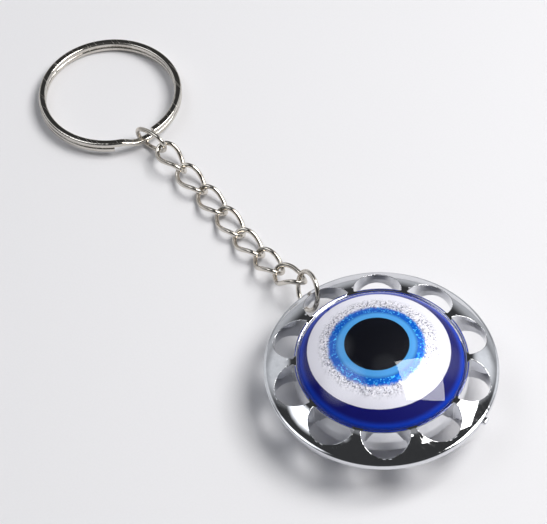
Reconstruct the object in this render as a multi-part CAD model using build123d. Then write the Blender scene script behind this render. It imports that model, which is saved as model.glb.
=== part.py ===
"""Evil eye keychain: a chrome wheel with a domed eye on each face, hung from a split ring by a curb chain.

It lies flat on a table, as it does when it is put down: the wheel rests on its back dome, a little
tilted by the pull of the chain. X runs from the split ring to the wheel, and Z is up. The origin is
on the table, under the middle of the whole keychain.
"""

from build123d import *
from math import copysign, cos, pi, radians, sin, tan
import os

# ---- Wheel: chrome-plated plastic, one moulding ----
WHEEL_RADIUS = 22.25
RIM_EDGE_THICKNESS = 1.3
RIM_EDGE_ROUND = 0.4
HUB_RADIUS = 16.4           # outside of the cup that holds the two eyes
HUB_THICKNESS = 5.9
CREST_BEND = 0.42           # how far the lens-shaped face bulges above a straight slope
HOLE_COUNT = 10
HOLE_RADIUS = 4.4
HOLE_CIRCLE_RADIUS = 16.5
DRAFT_ANGLE = 3.0           # both mould halves pull away from the mid-plane
GATE_AZIMUTH = 20.0         # the stub left where the plastic was fed in
GATE_WIDTH = 1.5
GATE_HEIGHT = 0.9
GATE_REACH = 0.7
GATE_ROOT = 0.6             # how far the stub is let into the rim

# ---- Eye on each face: a printed dome under a clear one, on an adhesive pad ----
DOME_RADIUS = 15.8
DOME_RISE = 5.0             # above the lip of the cup
DOME_SEAT = 1.0             # straight edge held in the cup
CLEAR_THICKNESS = 0.5       # of the clear dome over the printed one
CUP_CLEARANCE = 0.08
PAD_RADIUS = 15.4
PAD_THICKNESS = 0.2

# ---- Chain and jump ring: nickel-plated steel wire ----
WIRE = 0.95
LINK_PITCH = 6.6
LINK_PLAY = 0.25            # free length in each joint of the chain
LINK_WIDTH = 5.5            # over the wires
LINK_SQUARENESS = 2.3       # power of the oval: 2 is an ellipse
LINK_TWIST = -75.0          # of one end of a curb link against the other
LINK_CORNERS = 20
CORNER_SHARE = 0.45         # of each straight run that a corner's arc may take
JUMP_RING_DIAMETER = 8.6    # over the wire
RIM_TO_WIRE = 2.35          # from the middle of the rim to the jump ring's wire inside the hole

# ---- Split ring: flattened spring-steel wire, two turns ----
RING_RADIUS = 15.0
RING_WIRE_WIDTH = 1.5
RING_WIRE_HEIGHT = 1.15
RING_WIRE_ROUND = 0.4
RING_TURN_GAP = 0.06
UPPER_END_AZIMUTH = 4.0
LOWER_END_AZIMUTH = -31.0
STEP_START_AZIMUTH = -26.0  # where the upper turn starts down to become the lower turn
STEP_END_AZIMUTH = -10.0
STEP_SECTIONS = 5

# ---- How it lies: a heading turns from -X towards +Y, and a climb is upwards ----
WHEEL_TILT = 2.2            # towards the chain
JUMP_RING_LIE = (9.0, -15.0, 72.0)
SPLIT_RING_TILT = 2.8       # the first link lies under the near side of the split ring
SPLIT_RING_AZIMUTH = -5.0   # of the link that it carries, seen from the middle of the ring
LINK_TO_SPLIT_RING = 0.8    # from the last joint point back to the inside of the split ring

# name, heading, climb and roll of each link, from the wheel to the split ring
CHAIN_LIE = [
    ("curb_link_7", -9.0, -23.0, 0.0),
    ("curb_link_6", 2.0, -13.0, 0.0),
    ("curb_link_5", -1.0, -3.0, -8.0),
    ("curb_link_4", 4.0, 0.0, 0.0),
    ("curb_link_3", 0.0, 1.0, 0.0),
    ("curb_link_2", -3.0, 6.0, -7.0),
    ("curb_link_1", -2.0, 8.0, -18.0),
    ("ring_link", -12.0, -14.0, 90.0),
]
RING_LINK_SLIDE = (0.2, 0.6)  # of the next link down the end of this one, along and across
FLAT_LINKS = ["ring_link"]  # plain oval links without the curb twist

# ---- Worked out from the above ----
HALF_HUB = HUB_THICKNESS / 2
CUP_RADIUS = DOME_RADIUS + CUP_CLEARANCE
CUP_FLOOR = HALF_HUB - DOME_SEAT - PAD_THICKNESS
DOME_SPHERE_RADIUS = (DOME_RADIUS**2 + DOME_RISE**2) / (2 * DOME_RISE)
HALF_WHEEL = HALF_HUB + DOME_RISE
RIM_MIDDLE = (HOLE_CIRCLE_RADIUS + HOLE_RADIUS + WHEEL_RADIUS) / 2
JUMP_RING_RADIUS = (JUMP_RING_DIAMETER - WIRE) / 2
JOINT_INSET = (WIRE + LINK_PLAY) / 2
SPLIT_RING_INNER_RADIUS = RING_RADIUS - RING_WIRE_WIDTH
SPLIT_RING_MIDDLE_RADIUS = RING_RADIUS - RING_WIRE_WIDTH / 2


# ---------------------------------------------------------------- wheel
def lens_half():
    """Half of the wheel's section, from the axis to the rim, above the mid-plane."""
    rim = Vector(WHEEL_RADIUS, RIM_EDGE_THICKNESS / 2)
    hub = Vector(HUB_RADIUS, HALF_HUB)
    outwards = Vector(rim.Y - hub.Y, hub.X - rim.X).normalized() * -CREST_BEND
    crest = (rim + hub) / 2 + outwards
    outline = Polyline((rim.X, rim.Y), (rim.X, 0), (0, 0), (0, CUP_FLOOR), (CUP_RADIUS, CUP_FLOOR))
    lip = Polyline((CUP_RADIUS, CUP_FLOOR), (CUP_RADIUS, HALF_HUB), (hub.X, hub.Y))
    face = ThreePointArc((hub.X, hub.Y), (crest.X, crest.Y), (rim.X, rim.Y))
    return make_face([*outline.edges(), *lip.edges(), *face.edges()])


def petal_cutter():
    """One hole of the wheel, drafted both ways from the mid-plane, kept clear of the hub."""
    circle = Pos(HOLE_CIRCLE_RADIUS, 0) * Circle(HOLE_RADIUS)
    upper = extrude(circle, amount=HUB_THICKNESS, taper=-DRAFT_ANGLE)
    hub_middle_radius = HUB_RADIUS + HALF_HUB * tan(radians(DRAFT_ANGLE))
    hub_end_radius = hub_middle_radius - HUB_THICKNESS * tan(radians(DRAFT_ANGLE))
    upper_hub = Pos(0, 0, HALF_HUB) * Cone(hub_middle_radius, hub_end_radius, HUB_THICKNESS)
    upper_cut = upper - upper_hub
    return upper_cut + mirror(upper_cut, Plane.XY)


def gate_stub():
    """The stub on the rim where the moulding was snapped off its feed."""
    length = GATE_REACH + GATE_ROOT
    stub = Pos(WHEEL_RADIUS + GATE_REACH - length / 2, 0) * Box(length, GATE_WIDTH, GATE_HEIGHT)
    return Rot(0, 0, GATE_AZIMUTH) * fillet(stub.edges().filter_by(Axis.X), GATE_HEIGHT / 3)


def wheel():
    half = Plane.XZ * lens_half()
    body = revolve(half, Axis.Z)
    body += mirror(body, Plane.XY)
    circles = body.edges().filter_by(GeomType.CIRCLE)
    at_rim = circles.filter_by(lambda edge: edge.radius > (HOLE_CIRCLE_RADIUS + WHEEL_RADIUS) / 2)
    rim_edges = at_rim.filter_by(lambda edge: abs(edge.center().Z) > RIM_EDGE_THICKNESS / 4)
    body = fillet(rim_edges, RIM_EDGE_ROUND)
    cutter = petal_cutter()
    for index in range(HOLE_COUNT):
        body -= Rot(0, 0, index * 360 / HOLE_COUNT) * cutter
    return body + gate_stub()


# ---------------------------------------------------------------- eye: two domes and a pad on one face
def dome(inset):
    """A solid dome with a flat back, all but its back brought in from the outer surface by the inset."""
    radius = DOME_RADIUS - inset
    sphere_radius = DOME_SPHERE_RADIUS - inset
    sphere_middle = DOME_RISE - DOME_SPHERE_RADIUS
    edge_height = sphere_middle + (sphere_radius**2 - radius**2) ** 0.5
    half_way = radius / 2
    half_way_height = sphere_middle + (sphere_radius**2 - half_way**2) ** 0.5
    top = DOME_RISE - inset
    outline = Polyline((0, top), (0, -DOME_SEAT), (radius, -DOME_SEAT), (radius, edge_height))
    cap = ThreePointArc((radius, edge_height), (half_way, half_way_height), (0, top))
    section = Plane.XZ * make_face([*outline.edges(), *cap.edges()])
    return Pos(0, 0, HALF_HUB) * revolve(section, Axis.Z)


def eye_parts():
    """Everything in the front cup, by name, in the wheel's own place."""
    printed_eye = dome(CLEAR_THICKNESS)
    pad = Pos(0, 0, CUP_FLOOR + PAD_THICKNESS / 2) * Cylinder(PAD_RADIUS, PAD_THICKNESS)
    return {"clear_dome": dome(0) - printed_eye, "printed_eye": printed_eye, "adhesive_pad": pad}


# ---------------------------------------------------------------- wire parts
def link_points(twist):
    """Corners of an oval loop in the XY plane, its two ends rolled against each other by the twist."""
    half_length = (LINK_PITCH + WIRE + LINK_PLAY) / 2
    half_width = (LINK_WIDTH - WIRE) / 2
    power = 2 / LINK_SQUARENESS
    points = []
    for index in range(LINK_CORNERS):
        angle = 2 * pi * (index + 0.5) / LINK_CORNERS
        along = half_length * copysign(abs(cos(angle)) ** power, cos(angle))
        across = half_width * copysign(abs(sin(angle)) ** power, sin(angle))
        roll = radians(twist) / 2 * sin(pi / 2 * along / half_length)
        points.append(Vector(along, across * cos(roll), across * sin(roll)))
    return points


def closed_path(points):
    """A closed path of straight runs joined by arcs that use most of each run."""
    radii = []
    for index, point in enumerate(points):
        before = point - points[index - 1]
        after = points[(index + 1) % len(points)] - point
        half_turn = radians(before.get_angle(after)) / 2
        radii.append(CORNER_SHARE * min(before.length, after.length) / tan(half_turn))
    return FilletPolyline(*points, radius=radii, close=True)


def wire_loop(path):
    """Round wire along a closed path, swept as two halves that meet face to face."""
    edges = path.edges()
    middle = len(edges) // 2
    loop = None
    for part_edges in (edges[:middle], edges[middle:]):
        run = Wire(part_edges)
        start = Plane(origin=run @ 0, z_dir=run % 0)
        half = sweep(start * Circle(WIRE / 2), path=run)
        loop = half if loop is None else loop + half
    return loop


def link(name):
    twist = 0.0 if name in FLAT_LINKS else LINK_TWIST
    return wire_loop(closed_path(link_points(twist)))


def ring_section(azimuth, bottom):
    """The split ring's flattened wire cut across, standing in the plane of this azimuth."""
    shape = RectangleRounded(RING_WIRE_WIDTH, RING_WIRE_HEIGHT, RING_WIRE_ROUND)
    upright = Plane.XZ * Pos(SPLIT_RING_MIDDLE_RADIUS, bottom + RING_WIRE_HEIGHT / 2) * shape
    return Rot(0, 0, azimuth) * upright


def split_ring():
    """Two turns of one wire. The upper turn steps down beside the link and becomes the lower turn."""
    rise = RING_WIRE_HEIGHT + RING_TURN_GAP
    upper_arc = 360 + STEP_START_AZIMUTH - UPPER_END_AZIMUTH
    lower_arc = 360 + LOWER_END_AZIMUTH - STEP_END_AZIMUTH
    upper = revolve(ring_section(UPPER_END_AZIMUTH, rise), Axis.Z, revolution_arc=upper_arc)
    lower = revolve(ring_section(STEP_END_AZIMUTH, 0), Axis.Z, revolution_arc=lower_arc)
    sections = []
    for index in range(STEP_SECTIONS):
        share = index / (STEP_SECTIONS - 1)
        azimuth = STEP_START_AZIMUTH + share * (STEP_END_AZIMUTH - STEP_START_AZIMUTH)
        bottom = rise * (1 + cos(pi * share)) / 2
        sections.append(ring_section(azimuth, bottom))
    return upper + loft(sections) + lower


# ---------------------------------------------------------------- how the parts lie
def way(heading, climb):
    """Unit vector from the wheel towards the split ring."""
    level = cos(radians(climb))
    return Vector(-level * cos(radians(heading)), level * sin(radians(heading)), sin(radians(climb)))


def along_chain(origin, direction, roll):
    """A plane whose X points back to the wheel, with Z turned from upright by the roll."""
    forward = -direction
    side = Vector(0, 0, 1).cross(forward).normalized()
    upright = forward.cross(side)
    turn = radians(roll)
    return Plane(origin=origin, x_dir=forward, z_dir=upright * cos(turn) - side * sin(turn))


def lay_out():
    """Places of all parts with the wheel's middle at X = 0, and the joint points between them."""
    tilt = radians(WHEEL_TILT)
    wheel_height = DOME_SPHERE_RADIUS - (DOME_SPHERE_RADIUS - HALF_WHEEL) * cos(tilt)
    places = {"wheel": Location((0, 0, wheel_height), (0, -WHEEL_TILT, 0))}
    rim = Vector(-RIM_MIDDLE * cos(tilt), 0, wheel_height - RIM_MIDDLE * sin(tilt))
    joints = {"jump_ring": rim}

    heading, climb, roll = JUMP_RING_LIE
    direction = way(heading, climb)
    middle = rim + direction * (JUMP_RING_RADIUS - RIM_TO_WIRE)
    places["jump_ring"] = along_chain(middle, direction, roll).location
    point = middle + direction * (JUMP_RING_RADIUS - JOINT_INSET)

    for name, heading, climb, roll in CHAIN_LIE:
        direction = way(heading, climb)
        joints[name] = point
        if name == "ring_link":
            along, across = RING_LINK_SLIDE
            point += along_chain(point, direction, roll).y_dir * across - direction * along
        places[name] = along_chain(point + direction * (LINK_PITCH / 2), direction, roll).location
        point = point + direction * LINK_PITCH

    inside = point - direction * LINK_TO_SPLIT_RING
    azimuth = radians(SPLIT_RING_AZIMUTH)
    spoke = Vector(cos(azimuth), sin(azimuth), 0) * SPLIT_RING_INNER_RADIUS
    height = RING_RADIUS * sin(radians(SPLIT_RING_TILT))
    ring_middle = Vector(inside.X - spoke.X, inside.Y - spoke.Y, height)
    places["split_ring"] = Location(tuple(ring_middle), (0, -SPLIT_RING_TILT, 0))
    wire_middle = Vector(SPLIT_RING_MIDDLE_RADIUS, 0, RING_WIRE_HEIGHT / 2)
    joints["split_ring"] = (places["split_ring"] * Rot(0, 0, SPLIT_RING_AZIMUTH) * Pos(wire_middle)).position
    return places, joints, ring_middle


def build():
    """Every part by name, in its place, with the joint points."""
    places, joints, ring_middle = lay_out()
    shift = Pos(-(WHEEL_RADIUS + ring_middle.X - RING_RADIUS) / 2, 0, 0)
    parts = {"wheel_frame": places["wheel"] * wheel()}
    for name, solid in eye_parts().items():
        parts["front_" + name] = places["wheel"] * solid
        parts["back_" + name] = places["wheel"] * mirror(solid, Plane.XY)
    parts["jump_ring"] = places["jump_ring"] * Torus(JUMP_RING_RADIUS, WIRE / 2)
    for name, *_ in CHAIN_LIE:
        parts[name] = places[name] * link(name)
    parts["split_ring"] = places["split_ring"] * split_ring()
    moved = {name: shift * solid for name, solid in parts.items()}
    points = {name: point + shift.position for name, point in joints.items()}
    return moved, points, places["wheel"].position + shift.position, ring_middle + shift.position


if __name__ == "__main__":
    os.makedirs("parts", exist_ok=True)
    solids, joint_points, wheel_middle, split_ring_middle = build()
    for node, solid in solids.items():
        export_step(solid, f"parts/{node}.step")
    for node, point in joint_points.items():
        print(f"joint of {node}: {point.X:.3f}, {point.Y:.3f}, {point.Z:.3f}")
    print(f"middle of the wheel: {wheel_middle.X:.3f}, {wheel_middle.Y:.3f}, {wheel_middle.Z:.3f}")
    print(f"middle of the split ring: {split_ring_middle.X:.3f}, {split_ring_middle.Y:.3f}")
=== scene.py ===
# %% [markdown]
# # An evil eye keychain in Blender
# A chrome wheel with a glass eye on each face, a curb chain and a split ring, lying on a pale table. The
# rings, the chain links and the adhesive film come straight from the CAD model, so this file only gives
# them their surfaces. The clear domes, the printed eyes and the plated wheel are built here again, in finer
# steps, because polished surfaces show every facet.

# %% Load the frame
import bpy
import bmesh
from math import atan, atan2, cos, pi, radians, sin, sqrt, tan
from mathutils import Matrix, Vector


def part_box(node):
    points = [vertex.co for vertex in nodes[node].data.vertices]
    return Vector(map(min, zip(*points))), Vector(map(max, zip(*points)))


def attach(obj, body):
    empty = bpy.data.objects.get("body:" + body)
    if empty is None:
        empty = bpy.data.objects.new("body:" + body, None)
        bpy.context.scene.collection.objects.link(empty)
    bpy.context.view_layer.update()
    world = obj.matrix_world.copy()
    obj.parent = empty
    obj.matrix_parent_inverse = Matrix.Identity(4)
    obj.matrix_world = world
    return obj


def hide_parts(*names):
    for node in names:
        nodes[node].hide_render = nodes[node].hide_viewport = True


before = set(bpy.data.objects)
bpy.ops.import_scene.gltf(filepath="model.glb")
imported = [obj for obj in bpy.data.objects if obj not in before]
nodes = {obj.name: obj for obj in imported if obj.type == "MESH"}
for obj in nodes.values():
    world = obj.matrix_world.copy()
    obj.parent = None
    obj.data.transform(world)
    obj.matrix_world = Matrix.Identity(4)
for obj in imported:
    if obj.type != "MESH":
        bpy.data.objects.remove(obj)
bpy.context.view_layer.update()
scene = bpy.context.scene
MM = 0.001

# %% [markdown]
# ## Where the wheel lies
# The wheel rests on its lower dome and leans a little towards the chain, so it has its own axis. Both domes
# share that axis, and the two lie mirrored about the wheel's mid-plane. The middles of their boxes are
# nearly on the axis, and the line from one to the other gives its direction. Everything that is round about
# the axis is built upright at the origin and then laid in place with one matrix.

# %% The wheel's own place
def box_middle(node):
    low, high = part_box(node)
    return (low + high) / 2


axis_direction = (box_middle("front_adhesive_pad") - box_middle("back_adhesive_pad")).normalized()
wheel_middle = (box_middle("front_adhesive_pad") + box_middle("back_adhesive_pad")) / 2
side = Vector((0, 1, 0))
wheel_x = side.cross(axis_direction)
wheel_place = Matrix.Translation(wheel_middle) @ Matrix((wheel_x, side, axis_direction)).transposed().to_4x4()
face_down = Matrix.Rotation(pi, 4, "X")
print("wheel middle in mm:", [round(v / MM, 2) for v in wheel_middle])

# %% [markdown]
# ## Mesh helpers
# A turned shape is drawn as half of its section and swept round the axis. Many narrow steps keep the
# outline round and the reflections smooth, which matters more on chrome and on glass than on anything else.

# %% Turned shapes
TURN_STEPS = 192


def new_piece(name, mesh, body, material):
    piece = bpy.data.objects.new(name, mesh)
    scene.collection.objects.link(piece)
    mesh.materials.clear()
    mesh.materials.append(material)
    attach(piece, body)
    return piece


def turned_mesh(name, section, steps=TURN_STEPS):
    """A closed turned surface. The section runs from the axis back to the axis, as (radius, height)."""
    mesh = bpy.data.meshes.new(name)
    bm = bmesh.new()
    rings = []
    for radius, height in section:
        count = 1 if radius == 0 else steps
        turns = [2 * pi * index / steps for index in range(count)]
        rings.append([bm.verts.new((radius * cos(turn), radius * sin(turn), height)) for turn in turns])
    for lower, upper in zip(rings, rings[1:]):
        for index in range(steps):
            following = (index + 1) % steps
            corners = [lower[index % len(lower)], lower[following % len(lower)]]
            corners += [upper[following % len(upper)], upper[index % len(upper)]]
            face = bm.faces.new(dict.fromkeys(corners))
            face.smooth = True
    bmesh.ops.recalc_face_normals(bm, faces=bm.faces)
    bm.to_mesh(mesh)
    bm.free()
    return mesh


print("helpers ready:", TURN_STEPS, "steps to a turn")

# %% [markdown]
# ## Shader helpers
# Every material here is made of the same few kinds of node. Short functions place a node, set its inputs
# and hand back its output, so that a recipe below reads from top to bottom.

# %% Node helpers
def put(tree, kind, inputs=None, **settings):
    node = tree.nodes.new(kind)
    for name, value in settings.items():
        setattr(node, name, value)
    for name, value in (inputs or {}).items():
        if isinstance(value, bpy.types.NodeSocket):
            tree.links.new(value, node.inputs[name])
        else:
            node.inputs[name].default_value = value
    return node


def maths(tree, operation, first, second=0.0, third=0.0):
    node = put(tree, "ShaderNodeMath", {0: first, 1: second, 2: third}, operation=operation)
    return node.outputs[0]


def ramp_between(tree, value, low, high, start=0.0, end=1.0):
    """The value taken smoothly from start at low to end at high."""
    inputs = {"Value": value, "From Min": low, "From Max": high, "To Min": start, "To Max": end}
    return put(tree, "ShaderNodeMapRange", inputs, interpolation_type="SMOOTHSTEP").outputs["Result"]


def mix_colours(tree, share, first, second):
    node = put(tree, "ShaderNodeMix", {"Factor": share}, data_type="RGBA")
    for socket, value in ((node.inputs[6], first), (node.inputs[7], second)):
        if isinstance(value, bpy.types.NodeSocket):
            tree.links.new(value, socket)
        else:
            socket.default_value = (*value, 1.0)
    return node.outputs[2]


def new_group(name, inputs, outputs):
    """A shader node group. Inputs are given as name to default, outputs as name to socket kind."""
    group = bpy.data.node_groups.new(name, "ShaderNodeTree")
    for label, default in inputs.items():
        socket = group.interface.new_socket(label, in_out="INPUT", socket_type="NodeSocketFloat")
        socket.default_value = default
    for label, kind in outputs.items():
        group.interface.new_socket(label, in_out="OUTPUT", socket_type=kind)
    return group, group.nodes.new("NodeGroupInput"), group.nodes.new("NodeGroupOutput")


def new_material(name):
    material = bpy.data.materials.new(name)
    material.use_nodes = True
    return material, material.node_tree, material.node_tree.nodes["Principled BSDF"]


print("node helpers ready")

# %% [markdown]
# ## Handling wear, as one shared group
# Keys and coins rub against a keychain, so its metal has fine scratches in every direction, and fingers
# leave faint greasy smudges. Thin stretched noise makes the scratches and a broad noise makes the smudges.
# Both are read from the object's own coordinates, so they stay on the surface when a part moves. The group
# gives a roughness to add, a height for the bump and a mask for darkening.

# %% The wear group
wear, wear_in, wear_out = new_group(
    "handling_wear",
    {"Scratches": 0.5, "Smudges": 0.5, "Waviness": 0.5, "Size": 1.0},
    {"Roughness": "NodeSocketFloat", "Height": "NodeSocketFloat", "Grime": "NodeSocketFloat"},
)
place = put(wear, "ShaderNodeTexCoord").outputs["Object"]
sized = put(wear, "ShaderNodeVectorMath", {0: place, "Scale": wear_in.outputs["Size"]}, operation="SCALE")
scaled = sized.outputs[0]
SCRATCH_SCALE = 60
scratch_sets = []
for turn, stretch in ((20, 26), (75, 34), (140, 22)):
    across = SCRATCH_SCALE * stretch
    inputs = {"Vector": scaled, "Rotation": (0.3, 0.2, radians(turn))}
    inputs["Scale"] = (SCRATCH_SCALE, across, across)
    laid = put(wear, "ShaderNodeMapping", inputs).outputs[0]
    noise = put(wear, "ShaderNodeTexNoise", {"Vector": laid, "Scale": 1.0, "Detail": 2.0, "Distortion": 0.6})
    scratch_sets.append(ramp_between(wear, noise.outputs[0], 0.62, 0.72))
scratches = maths(wear, "MAXIMUM", maths(wear, "MAXIMUM", scratch_sets[0], scratch_sets[1]), scratch_sets[2])
scratches = maths(wear, "MULTIPLY", scratches, wear_in.outputs["Scratches"])
inputs = {"Vector": scaled, "Scale": 210.0, "Detail": 4.0, "Roughness": 0.6}
smudge_noise = put(wear, "ShaderNodeTexNoise", inputs)
smudges = ramp_between(wear, smudge_noise.outputs[0], 0.45, 0.7)
smudges = maths(wear, "MULTIPLY", smudges, wear_in.outputs["Smudges"])
wave_noise = put(wear, "ShaderNodeTexNoise", {"Vector": scaled, "Scale": 330.0, "Detail": 1.0})
waves = maths(wear, "MULTIPLY", wave_noise.outputs[0], wear_in.outputs["Waviness"])
roughness = maths(wear, "MULTIPLY_ADD", scratches, 0.22, maths(wear, "MULTIPLY", smudges, 0.1))
wear.links.new(roughness, wear_out.inputs["Roughness"])
wear.links.new(maths(wear, "MULTIPLY_ADD", scratches, -0.15, waves), wear_out.inputs["Height"])
wear.links.new(smudges, wear_out.inputs["Grime"])
print("wear group:", len(wear.nodes), "nodes")

# %% [markdown]
# ## Metal finishes
# Chrome plate on plastic is a near perfect mirror with a faint waviness from the moulding under it. Nickel
# plate on wire is warmer and a little softer. The split ring's wire is drawn through a die and flattened,
# which leaves fine lines along it. One function makes all three, each with its own colour, softness and
# wear.

# %% Make the metals
def metal(name, bright, dull, softness, scratches, smudges, waviness, relief):
    material, tree, shader = new_material(name)
    worn = put(tree, "ShaderNodeGroup", node_tree=wear)
    for label, value in (("Scratches", scratches), ("Smudges", smudges), ("Waviness", waviness)):
        worn.inputs[label].default_value = value
    patches = put(tree, "ShaderNodeTexNoise", {"Vector": put(tree, "ShaderNodeTexCoord").outputs["Object"],
                                               "Scale": 900.0, "Detail": 3.0}).outputs[0]
    shade = maths(tree, "MULTIPLY_ADD", worn.outputs["Grime"], 0.5, maths(tree, "MULTIPLY", patches, 0.35))
    tree.links.new(mix_colours(tree, shade, bright, dull), shader.inputs["Base Color"])
    rough = maths(tree, "ADD", worn.outputs["Roughness"], softness)
    tree.links.new(rough, shader.inputs["Roughness"])
    inputs = {"Height": worn.outputs["Height"], "Distance": relief, "Strength": 1.0}
    bump = put(tree, "ShaderNodeBump", inputs)
    tree.links.new(bump.outputs[0], shader.inputs["Normal"])
    shader.inputs["Metallic"].default_value = 1.0
    return material


chrome = metal("chrome_plate", (0.80, 0.81, 0.84), (0.52, 0.53, 0.56), 0.035, 0.35, 0.5, 1.0, 0.00002)
nickel = metal("nickel_wire", (0.74, 0.70, 0.64), (0.42, 0.38, 0.33), 0.13, 0.7, 0.8, 0.6, 0.00003)
spring_steel = metal("spring_steel", (0.72, 0.69, 0.64), (0.40, 0.37, 0.33), 0.11, 0.9, 0.8, 0.8, 0.00003)
print("metals:", chrome.name, nickel.name, spring_steel.name)

# %% Give the metals to the CAD parts
for name, node in nodes.items():
    if name.startswith("curb_link") or name in ("ring_link", "jump_ring"):
        node.data.materials.clear()
        node.data.materials.append(nickel)
nodes["split_ring"].data.materials.clear()
nodes["split_ring"].data.materials.append(spring_steel)

# %% [markdown]
# ## The wheel, turned and pierced again
# Chrome shows every facet, so the wheel is drawn again at a much finer step than a CAD mesh has: its
# section is turned about the axis, and one Boolean takes out all the petal holes. The sizes are those of
# the CAD wheel. A plated moulding has no knife edges either, because the plate builds up on them, so a
# Bevel then rounds each sharp edge. The thin bright lines round the holes come from that. The Bevel is let
# run past its own overlap guard, which would make it far too narrow everywhere because of a few short
# edges.

# %% The wheel's sizes
WHEEL_RADIUS = 22.24 * MM  # a hair under the CAD radius, to stay in the CAD box
HALF_RIM = 0.75 * MM  # where the bulging face meets the round of the rim
RIM_ROUND = 0.4 * MM
HUB_RADIUS = 16.4 * MM
HALF_HUB = 2.95 * MM
CREST_BEND = 0.42 * MM
CUP_RADIUS = 15.88 * MM
CUP_FLOOR = 1.75 * MM
HOLE_COUNT = 10
HOLE_RADIUS = 4.4 * MM
HOLE_CIRCLE_RADIUS = 16.5 * MM
DRAFT = tan(radians(3))
EDGE_ROUND = 0.12 * MM
HUB_GAP = 0.1 * MM  # keeps the hole edges off the corner of the hub
SLIVER = 0.04 * MM
RIM_TURN = radians(68)
WHEEL_STEPS = 240
FACE_STEPS = 26
ROUND_STEPS = 6


def wheel_face():
    """The bulging face from the lip of the cup to the round of the rim."""
    points = []
    for step in range(FACE_STEPS + 1):
        share = step / FACE_STEPS
        bulge = CREST_BEND * 4 * share * (1 - share)
        points.append((HUB_RADIUS + share * (WHEEL_RADIUS - RIM_ROUND - HUB_RADIUS),
                       HALF_HUB + share * (HALF_RIM - HALF_HUB) + bulge))
    return points


def rim_round():
    corner = Vector((WHEEL_RADIUS - RIM_ROUND, HALF_RIM - RIM_ROUND))
    turns = [RIM_TURN * (1 - step / ROUND_STEPS) for step in range(1, ROUND_STEPS + 1)]
    return [(corner.x + RIM_ROUND * cos(turn), corner.y + RIM_ROUND * sin(turn)) for turn in turns]


# %% Turn the wheel
upper = [(0, CUP_FLOOR), (CUP_RADIUS, CUP_FLOOR), (CUP_RADIUS, HALF_HUB)] + wheel_face() + rim_round()
lower = [(radius, -height) for radius, height in reversed(upper)]
wheel_mesh = turned_mesh("wheel_shown", upper + lower, steps=WHEEL_STEPS)
print("turned wheel:", len(wheel_mesh.polygons), "faces")

# %% The outline of a petal hole
PETAL_STEPS = 44
HUB_STEPS = 24
CUTTER_HALF = 4.5 * MM


def petal_outline(height):
    """A petal hole's outline at a height: most of a circle, closed along the round wall of the hub."""
    petal = HOLE_RADIUS + abs(height) * DRAFT
    hub = HUB_RADIUS + HUB_GAP + (HALF_HUB - abs(height)) * DRAFT
    meet = (HOLE_CIRCLE_RADIUS**2 + hub**2 - petal**2) / (2 * HOLE_CIRCLE_RADIUS)
    rise = sqrt(hub**2 - meet**2)
    petal_turn = atan2(rise, meet - HOLE_CIRCLE_RADIUS)
    hub_turn = atan2(rise, meet)
    outline = []
    for step in range(PETAL_STEPS):
        turn = petal_turn * (2 * step / PETAL_STEPS - 1)
        outline.append((HOLE_CIRCLE_RADIUS + petal * cos(turn), petal * sin(turn), height))
    for step in range(HUB_STEPS):
        turn = hub_turn * (1 - 2 * step / HUB_STEPS)
        outline.append((hub * cos(turn), hub * sin(turn), height))
    return [Vector(point) for point in outline]


# %% Make the cutters
cutter_mesh = bpy.data.meshes.new("petal_cutters")
bm = bmesh.new()
for index in range(HOLE_COUNT):
    spoke = Matrix.Rotation(2 * pi * index / HOLE_COUNT, 4, "Z")
    levels = []
    for height in (-CUTTER_HALF, 0, CUTTER_HALF):
        levels.append([bm.verts.new(spoke @ point) for point in petal_outline(height)])
    bm.faces.new(reversed(levels[0]))
    bm.faces.new(levels[-1])
    for below, above in zip(levels, levels[1:]):
        for corner in range(len(below)):
            beside = (corner + 1) % len(below)
            bm.faces.new((below[corner], below[beside], above[beside], above[corner]))
bm.to_mesh(cutter_mesh)
bm.free()
print("petal cutters:", HOLE_COUNT)

# %% Pierce the wheel and round its edges
wheel = new_piece("wheel_shown", wheel_mesh, "wheel", chrome)
cutters = bpy.data.objects.new("petal_cutters", cutter_mesh)
scene.collection.objects.link(cutters)
piercing = wheel.modifiers.new("petal_holes", "BOOLEAN")
piercing.operation = "DIFFERENCE"
piercing.solver = "EXACT"
piercing.object = cutters
joining = wheel.modifiers.new("join_slivers", "WELD")
joining.merge_threshold = SLIVER
rounding = wheel.modifiers.new("round_edges", "BEVEL")
rounding.width = EDGE_ROUND
rounding.segments = 3
rounding.limit_method = "ANGLE"
rounding.angle_limit = radians(32)
rounding.harden_normals = True
rounding.use_clamp_overlap = False
bpy.context.view_layer.update()
pierced = bpy.data.meshes.new_from_object(wheel.evaluated_get(bpy.context.evaluated_depsgraph_get()))
wheel.modifiers.clear()
bpy.data.objects.remove(cutters)
pierced.transform(wheel_place)
pierced.name = "wheel_shown"
wheel.data = pierced
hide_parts("wheel_frame")
print("pierced wheel:", len(pierced.polygons), "faces")

# %% [markdown]
# ## The stub of the moulding feed
# Plastic flowed into the wheel through a small gate at the rim. It is snapped off after moulding, and the
# plate covers the rough stub that stays.

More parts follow.
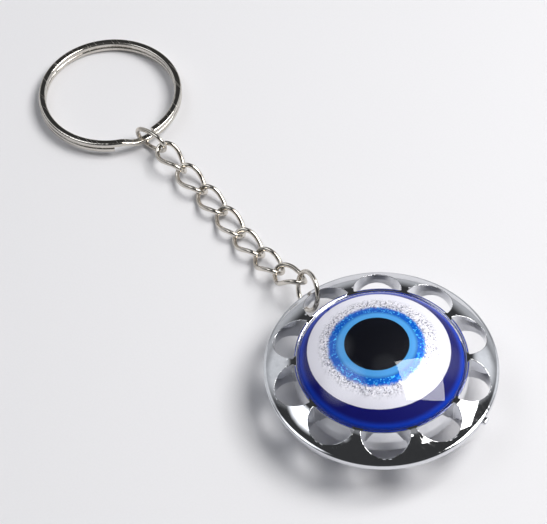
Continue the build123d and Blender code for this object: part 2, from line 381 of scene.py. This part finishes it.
# %% Make the stub
GATE_TURN = radians(20)
STUB_SIZE = Vector((1.3, 1.5, 0.9)) * MM
STUB_ROUND = 0.28 * MM
STUB_MIDDLE = WHEEL_RADIUS + 0.05 * MM
stub_mesh = bpy.data.meshes.new("moulding_stub")
bm = bmesh.new()
bmesh.ops.create_cube(bm, size=1.0)
bmesh.ops.scale(bm, vec=STUB_SIZE, verts=bm.verts)
bmesh.ops.bevel(bm, geom=list(bm.edges), offset=STUB_ROUND, segments=4, affect="EDGES", profile=0.5)
bmesh.ops.translate(bm, vec=(STUB_MIDDLE, 0, 0), verts=bm.verts)
bmesh.ops.rotate(bm, matrix=Matrix.Rotation(GATE_TURN, 3, "Z"), verts=bm.verts)
for face in bm.faces:
    face.smooth = True
bm.to_mesh(stub_mesh)
bm.free()
stub_mesh.transform(wheel_place)
new_piece("moulding_stub", stub_mesh, "wheel", chrome)
print("stub in mm:", [round(v / MM, 2) for v in STUB_SIZE])

# %% [markdown]
# ## Clear glass over a printed dome
# Each eye is two domes, one in the other: a solid dome with the eye printed on its top, under a thin clear
# one. The clear one is modelled as a closed shell of glass with glass's own index. Its inner face goes a
# hair into the print, because the two are wetted together and no air is left between them. Lamps reach the
# print straight through the clear dome, which is what so thin a layer does in a soft light.

# %% Make the glass
GLASS_RELIEF = 0.000006
glass, tree, shader = new_material("clear_dome_glass")
worn = put(tree, "ShaderNodeGroup", node_tree=wear)
for label, value in (("Scratches", 0.05), ("Smudges", 0.1), ("Waviness", 0.25)):
    worn.inputs[label].default_value = value
tree.links.new(worn.outputs["Roughness"], shader.inputs["Roughness"])
inputs = {"Height": worn.outputs["Height"], "Distance": GLASS_RELIEF, "Strength": 1.0}
bump = put(tree, "ShaderNodeBump", inputs)
tree.links.new(bump.outputs[0], shader.inputs["Normal"])
shader.inputs["Base Color"].default_value = (0.985, 0.99, 1.0, 1.0)
shader.inputs["Transmission Weight"].default_value = 1.0
shader.inputs["IOR"].default_value = 1.5
print("glass index:", shader.inputs["IOR"].default_value)

# %% Sections of the two domes
DOME_RADIUS = 15.8 * MM
DOME_RISE = 5.0 * MM
DOME_SEAT = 1.0 * MM
CLEAR_THICKNESS = 0.5 * MM
WETTED = 0.02 * MM
CAP_STEPS = 40
sphere_radius = (DOME_RADIUS**2 + DOME_RISE**2) / (2 * DOME_RISE)
back_height = HALF_HUB - DOME_SEAT
apex_height = HALF_HUB + DOME_RISE


def cap_points(inset):
    """A dome's outer line from its edge to its top, all brought in by the inset."""
    radius = DOME_RADIUS - inset
    ball = sphere_radius - inset
    edge_turn = atan(radius / sqrt(ball**2 - radius**2))
    points = []
    for step in range(CAP_STEPS + 1):
        turn = edge_turn * (1 - step / CAP_STEPS)
        across = ball * sin(turn) if step < CAP_STEPS else 0
        points.append((across, apex_height - sphere_radius + ball * cos(turn)))
    return points


def clear_section():
    outer = cap_points(0)
    inner = cap_points(CLEAR_THICKNESS + WETTED)
    foot = [(inner[0][0], back_height), (outer[0][0], back_height)]
    return list(reversed(inner)) + foot + outer


def printed_section():
    outer = cap_points(CLEAR_THICKNESS)
    return [(0, back_height), (outer[0][0], back_height)] + outer


print("dome sphere radius in mm:", round(sphere_radius / MM, 2))

# %% [markdown]
# ## The printed eye
# The eye is a black pupil, a sky-blue iris, a band of deep blue and a band of silver glitter, a white ring
# and a cobalt field. The field's rim is painted a lighter blue, a painted glow of light coming through the
# dome's edge. Each colour is a disc on top of the last, so a group that gives the mask of one soft-edged disc
# builds them all. Prints are never dead centre, so each disc has its own middle. Glitter is crushed foil:
# small cells, and only a share of them are foil or spark. Each is painted bright or dark by its own random
# value. These are painted glints, standing in for flakes that face the lamp and flakes that face away. The
# flakes also get a little real metallic shine and bump.

# %% Groups for the print
disc_mask, disc_in, disc_out = new_group(
    "printed_disc",
    {"Middle X": 0.0, "Middle Y": 0.0, "Radius": 1.0, "Softness": 0.1, "Wobble": 0.1},
    {"Mask": "NodeSocketFloat", "Depth": "NodeSocketFloat"},
)
place = put(disc_mask, "ShaderNodeTexCoord").outputs["Object"]
in_mm = put(disc_mask, "ShaderNodeVectorMath", {0: place, "Scale": 1 / MM}, operation="SCALE").outputs[0]
parts = put(disc_mask, "ShaderNodeSeparateXYZ", {0: in_mm}).outputs
dx = maths(disc_mask, "SUBTRACT", parts[0], disc_in.outputs["Middle X"])
dy = maths(disc_mask, "SUBTRACT", parts[1], disc_in.outputs["Middle Y"])
squares = maths(disc_mask, "ADD", maths(disc_mask, "MULTIPLY", dx, dx), maths(disc_mask, "MULTIPLY", dy, dy))
from_middle = maths(disc_mask, "SQRT", squares)
edge_noise = put(disc_mask, "ShaderNodeTexNoise", {"Vector": in_mm, "Scale": 1.3, "Detail": 3.0}).outputs[0]
centred_noise = maths(disc_mask, "SUBTRACT", edge_noise, 0.5)
wobble = maths(disc_mask, "MULTIPLY", centred_noise, disc_in.outputs["Wobble"])
depth = maths(disc_mask, "SUBTRACT", disc_in.outputs["Radius"], maths(disc_mask, "ADD", from_middle, wobble))
half_soft = maths(disc_mask, "MULTIPLY", disc_in.outputs["Softness"], 0.5)
mask = ramp_between(disc_mask, depth, maths(disc_mask, "MULTIPLY", half_soft, -1.0), half_soft)
disc_mask.links.new(mask, disc_out.inputs["Mask"])
disc_mask.links.new(depth, disc_out.inputs["Depth"])

# The Shade output, one random value per cell, sets how bright each foil or spark cell is painted: painted
# glints.
glitter, glitter_in, glitter_out = new_group(
    "crushed_glitter", {"Cell": 0.3, "Share": 0.3}, {"Fleck": "NodeSocketFloat", "Shade": "NodeSocketFloat"}
)
place = put(glitter, "ShaderNodeTexCoord").outputs["Object"]
cell_scale = maths(glitter, "DIVIDE", 1 / MM, glitter_in.outputs["Cell"])
cells = put(glitter, "ShaderNodeTexVoronoi", {"Vector": place, "Scale": cell_scale, "Randomness": 1.0})
channels = put(glitter, "ShaderNodeSeparateColor", {0: cells.outputs["Color"]}).outputs
threshold = maths(glitter, "SUBTRACT", 1.0, glitter_in.outputs["Share"])
fleck = maths(glitter, "GREATER_THAN", channels[0], threshold)
glitter.links.new(fleck, glitter_out.inputs["Fleck"])
glitter.links.new(channels[1], glitter_out.inputs["Shade"])
print("print groups:", disc_mask.name, glitter.name)

# %% The print's colours
PUPIL = (0.0025, 0.003, 0.006)
SKY = (0.07, 0.30, 0.62)
SKY_SHADE = (0.025, 0.15, 0.42)
# The cyan colour is for painted glints on the glitter in the deep blue band.
DEEP_BLUE = (0.002, 0.09, 0.46)
CYAN_PAINTED_GLINT = (0.10, 0.62, 0.95)
# Foil colours: flakes painted near black and near white, painted glints for flakes facing away from or
# towards the lamp.
FOIL_PAINTED_UNLIT = (0.08, 0.085, 0.13)
FOIL_PAINTED_GLINT = (0.95, 0.93, 0.97)
WHITE = (0.64, 0.64, 0.70)
COBALT = (0.005, 0.006, 0.11)
# The field's rim colour is a painted glow: lighter blue standing in for light coming through the dome's edge.
COBALT_PAINTED_GLOW = (0.005, 0.04, 0.42)
FOIL_RELIEF = 0.00003

# %% The print's material
def eye_print(face, pupil_middle, ring_middle, disc_middle):
    material, tree, shader = new_material(face + "_eye_print")

    def printed(middle, radius, softness, shake):
        group = put(tree, "ShaderNodeGroup", node_tree=disc_mask)
        values = {"Middle X": middle.x / MM, "Middle Y": middle.y / MM, "Radius": radius}
        values.update({"Softness": softness, "Wobble": shake})
        for label, value in values.items():
            group.inputs[label].default_value = value
        return group.outputs

    def flecks(cell, share):
        group = put(tree, "ShaderNodeGroup", node_tree=glitter)
        group.inputs["Cell"].default_value = cell
        group.inputs["Share"].default_value = share
        return group.outputs

    # The cobalt field is dark inside and painted lighter blue at its rim, a painted glow of light through the
    # dome's edge.
    field = printed(disc_middle, 14.7, 1.2, 0.1)
    colour = mix_colours(tree, field["Mask"], COBALT_PAINTED_GLOW, COBALT)
    white = printed(ring_middle, 13.35, 0.1, 0.12)
    colour = mix_colours(tree, white["Mask"], colour, WHITE)
    silver = printed(ring_middle, 11.0, 1.8, 1.0)
    foil = flecks(0.24, 0.66)
    # Painted glints: each foil cell is painted between dark and bright by its random shade; below it also
    # gets real metallic shine.
    foil_glint_colour = mix_colours(tree, foil["Shade"], FOIL_PAINTED_UNLIT, FOIL_PAINTED_GLINT)
    foil_share = maths(tree, "MULTIPLY", silver["Mask"], foil["Fleck"])
    colour = mix_colours(tree, foil_share, colour, foil_glint_colour)
    middle_blue = printed(pupil_middle, 9.0, 0.8, 0.6)
    colour = mix_colours(tree, middle_blue["Mask"], colour, DEEP_BLUE)
    # Cyan sparks: a share of cells in the deep blue band are painted towards bright cyan as painted glints.
    # They also get real metallic shine below.
    sparks = flecks(0.24, 0.22)
    spark_glint_colour = mix_colours(tree, sparks["Shade"], DEEP_BLUE, CYAN_PAINTED_GLINT)
    spark_share = maths(tree, "MULTIPLY", middle_blue["Mask"], sparks["Fleck"])
    colour = mix_colours(tree, spark_share, colour, spark_glint_colour)
    iris = printed(pupil_middle, 7.6, 0.12, 0.1)
    iris_depth = ramp_between(tree, iris["Depth"], 0.0, 0.7)
    colour = mix_colours(tree, iris["Mask"], colour, mix_colours(tree, iris_depth, SKY_SHADE, SKY))
    pupil = printed(pupil_middle, 6.05, 0.1, 0.08)
    colour = mix_colours(tree, pupil["Mask"], colour, PUPIL)
    tree.links.new(colour, shader.inputs["Base Color"])
    shader.inputs["Specular IOR Level"].default_value = 0.04
    above_flecks = maths(tree, "SUBTRACT", 1.0, iris["Mask"])
    shine = maths(tree, "MULTIPLY", maths(tree, "MAXIMUM", foil_share, spark_share), above_flecks)
    tree.links.new(maths(tree, "MULTIPLY", shine, 0.4), shader.inputs["Metallic"])
    grain = put(tree, "ShaderNodeTexNoise", {"Vector": put(tree, "ShaderNodeTexCoord").outputs["Object"],
                                             "Scale": 4000.0, "Detail": 2.0}).outputs[0]
    tree.links.new(maths(tree, "MULTIPLY_ADD", grain, 0.2, 0.3), shader.inputs["Roughness"])
    foil_height = maths(tree, "MULTIPLY", foil["Shade"], shine)
    bump = put(tree, "ShaderNodeBump", {"Height": foil_height, "Distance": FOIL_RELIEF})
    tree.links.new(bump.outputs[0], shader.inputs["Normal"])
    return material


# %% Place both eyes
PUPIL_OFFSET = Vector((-1.24, -0.32, 0)) * MM
RING_OFFSET = Vector((-1.18, 0.26, 0)) * MM
for face, flip in (("front", Matrix.Identity(4)), ("back", face_down)):
    middle = box_middle(face + "_printed_eye")
    material = eye_print(face, middle + PUPIL_OFFSET, middle + RING_OFFSET, middle)
    layers = (("clear_dome", clear_section(), glass), ("printed_eye", printed_section(), material))
    for name, section, surface in layers:
        mesh = turned_mesh(f"{face}_{name}_shown", section)
        mesh.transform(wheel_place @ flip)
        mesh.update()
        piece = new_piece(f"{face}_{name}_shown", mesh, "wheel", surface)
        piece.visible_shadow = name != "clear_dome"
        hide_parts(f"{face}_{name}")
print("eyes placed on both faces")

# %% [markdown]
# ## The adhesive film
# A thin milky film holds each print in its cup. It is hidden in use, but it is a real piece, and it has the
# faint mottling of glue that has been pressed flat.

# %% Make the film
film, tree, shader = new_material("adhesive_film")
mottle = put(tree, "ShaderNodeTexNoise", {"Vector": put(tree, "ShaderNodeTexCoord").outputs["Object"],
                                          "Scale": 500.0, "Detail": 4.0}).outputs[0]
tree.links.new(mix_colours(tree, mottle, (0.70, 0.69, 0.64), (0.86, 0.85, 0.82)), shader.inputs["Base Color"])
tree.links.new(maths(tree, "MULTIPLY_ADD", mottle, 0.3, 0.4), shader.inputs["Roughness"])
bump = put(tree, "ShaderNodeBump", {"Height": mottle, "Distance": 0.00005, "Strength": 1.0})
tree.links.new(bump.outputs[0], shader.inputs["Normal"])
for face in ("front", "back"):
    nodes[face + "_adhesive_pad"].data.materials.clear()
    nodes[face + "_adhesive_pad"].data.materials.append(film)
print("film on both pads")

# %% [markdown]
# ## Table
# A plain pale table, large enough to fill the view. A very fine grain keeps it from looking like empty
# space.

# %% Make the table
TABLE_HALF = 1.2
TABLE_DROP = 0.00002
mesh = bpy.data.meshes.new("table_top")
corners = [(x * TABLE_HALF, y * TABLE_HALF, -TABLE_DROP) for x, y in ((-1, -1), (1, -1), (1, 1), (-1, 1))]
mesh.from_pydata(corners, [], [(0, 1, 2, 3)])
table_top = bpy.data.objects.new("table_top", mesh)
scene.collection.objects.link(table_top)
pale, tree, shader = new_material("pale_table")
grain = put(tree, "ShaderNodeTexNoise", {"Vector": put(tree, "ShaderNodeTexCoord").outputs["Object"],
                                         "Scale": 2500.0, "Detail": 3.0}).outputs[0]
tree.links.new(mix_colours(tree, grain, (0.80, 0.80, 0.83), (0.84, 0.84, 0.87)), shader.inputs["Base Color"])
shader.inputs["Roughness"].default_value = 0.6
mesh.materials.append(pale)
print("table half width in m:", TABLE_HALF)

# %% [markdown]
# ## Light
# One large soft box, high on the right and a little behind, gives the domes their broad milky highlight and
# throws soft shadows to the left. Directions are given as the camera sees them: to its right, away from it,
# and up.

# %% Directions seen from the camera
LOOK_AT = Vector((5.17, 1.95, 0.0)) * MM
CAMERA_AZIMUTH = radians(53)
CAMERA_HEIGHT_ANGLE = radians(54.5)
CAMERA_DISTANCE = 0.4388
to_right = Vector((cos(CAMERA_AZIMUTH), sin(CAMERA_AZIMUTH), 0))
away = Vector((-sin(CAMERA_AZIMUTH), cos(CAMERA_AZIMUTH), 0))
upwards = Vector((0, 0, 1))
print("camera looks at mm:", [round(v / MM, 2) for v in LOOK_AT])

# %% Hang the soft box
LAMP_DISTANCE = 0.7
light = bpy.data.lights.new("key_softbox", "AREA")
light.shape = "RECTANGLE"
light.size, light.size_y = (0.42, 0.42)
light.energy = 5.0
light.color = (1.0, 0.985, 0.96)
lamp = bpy.data.objects.new("key_softbox", light)
scene.collection.objects.link(lamp)
direction = (to_right * 0.51 + away * 0.14 + upwards * 0.85).normalized()
lamp.location = wheel_middle + direction * LAMP_DISTANCE
lamp.rotation_mode = "QUATERNION"
lamp.rotation_quaternion = direction.to_track_quat("Z", "Y")

# %% [markdown]
# ## The room in the chrome
# The rest of the room only shows as reflections, so it is painted on the world: dim overall, brighter near
# the horizon where pale walls meet the table, with soft pale cards on both sides. Soft edges matter,
# because a mirror shows the edge of each card.

# %% Paint the room
room = bpy.data.worlds.new("room")
room.use_nodes = True
tree = room.node_tree
facing = put(tree, "ShaderNodeTexCoord").outputs["Generated"]
height = put(tree, "ShaderNodeSeparateXYZ", {0: facing}).outputs[2]
brightness = maths(tree, "ADD", ramp_between(tree, height, 0.5, 0.05, 0.0, 0.5), 0.045)
CARDS = [  # right, back, up, brightness, inner and outer angle
    (-0.50, 0.10, 0.86, 2.2, 7, 20),
    (-0.60, 0.50, 0.55, 0.7, 8, 24),
    (0.60, 0.50, 0.55, 0.9, 6, 22),
    (0.05, 0.30, 0.95, 0.25, 4, 12),
]
for right, back, up, strength, inner, outer in CARDS:
    card = (to_right * right + away * back + upwards * up).normalized()
    product = put(tree, "ShaderNodeVectorMath", {0: facing, 1: card}, operation="DOT_PRODUCT")
    closeness = product.outputs["Value"]
    glow = ramp_between(tree, closeness, cos(radians(outer)), cos(radians(inner)), 0.0, strength)
    brightness = maths(tree, "ADD", brightness, glow)
background = tree.nodes["Background"]
background.inputs["Color"].default_value = (0.95, 0.97, 1.0, 1.0)
tree.links.new(brightness, background.inputs["Strength"])
scene.world = room
scene.view_settings.view_transform = "Standard"
print("cards painted:", len(CARDS))

# %% [markdown]
# ## Camera
# A long lens looking down at the table, from the side of the chain, so that the chain runs away from the
# wheel to the upper left.

# %% Place the camera
lens = bpy.data.cameras.new("camera")
lens.sensor_width = 36
lens.lens = 144.8
lens.clip_start = 0.01
camera = bpy.data.objects.new("camera", lens)
scene.collection.objects.link(camera)
towards_camera = -away * cos(CAMERA_HEIGHT_ANGLE) + upwards * sin(CAMERA_HEIGHT_ANGLE)
camera.location = LOOK_AT + towards_camera * CAMERA_DISTANCE
camera.rotation_mode = "QUATERNION"
camera.rotation_quaternion = towards_camera.to_track_quat("Z", "Y")
scene.camera = camera
print("camera at mm:", [round(v / MM) for v in camera.location])
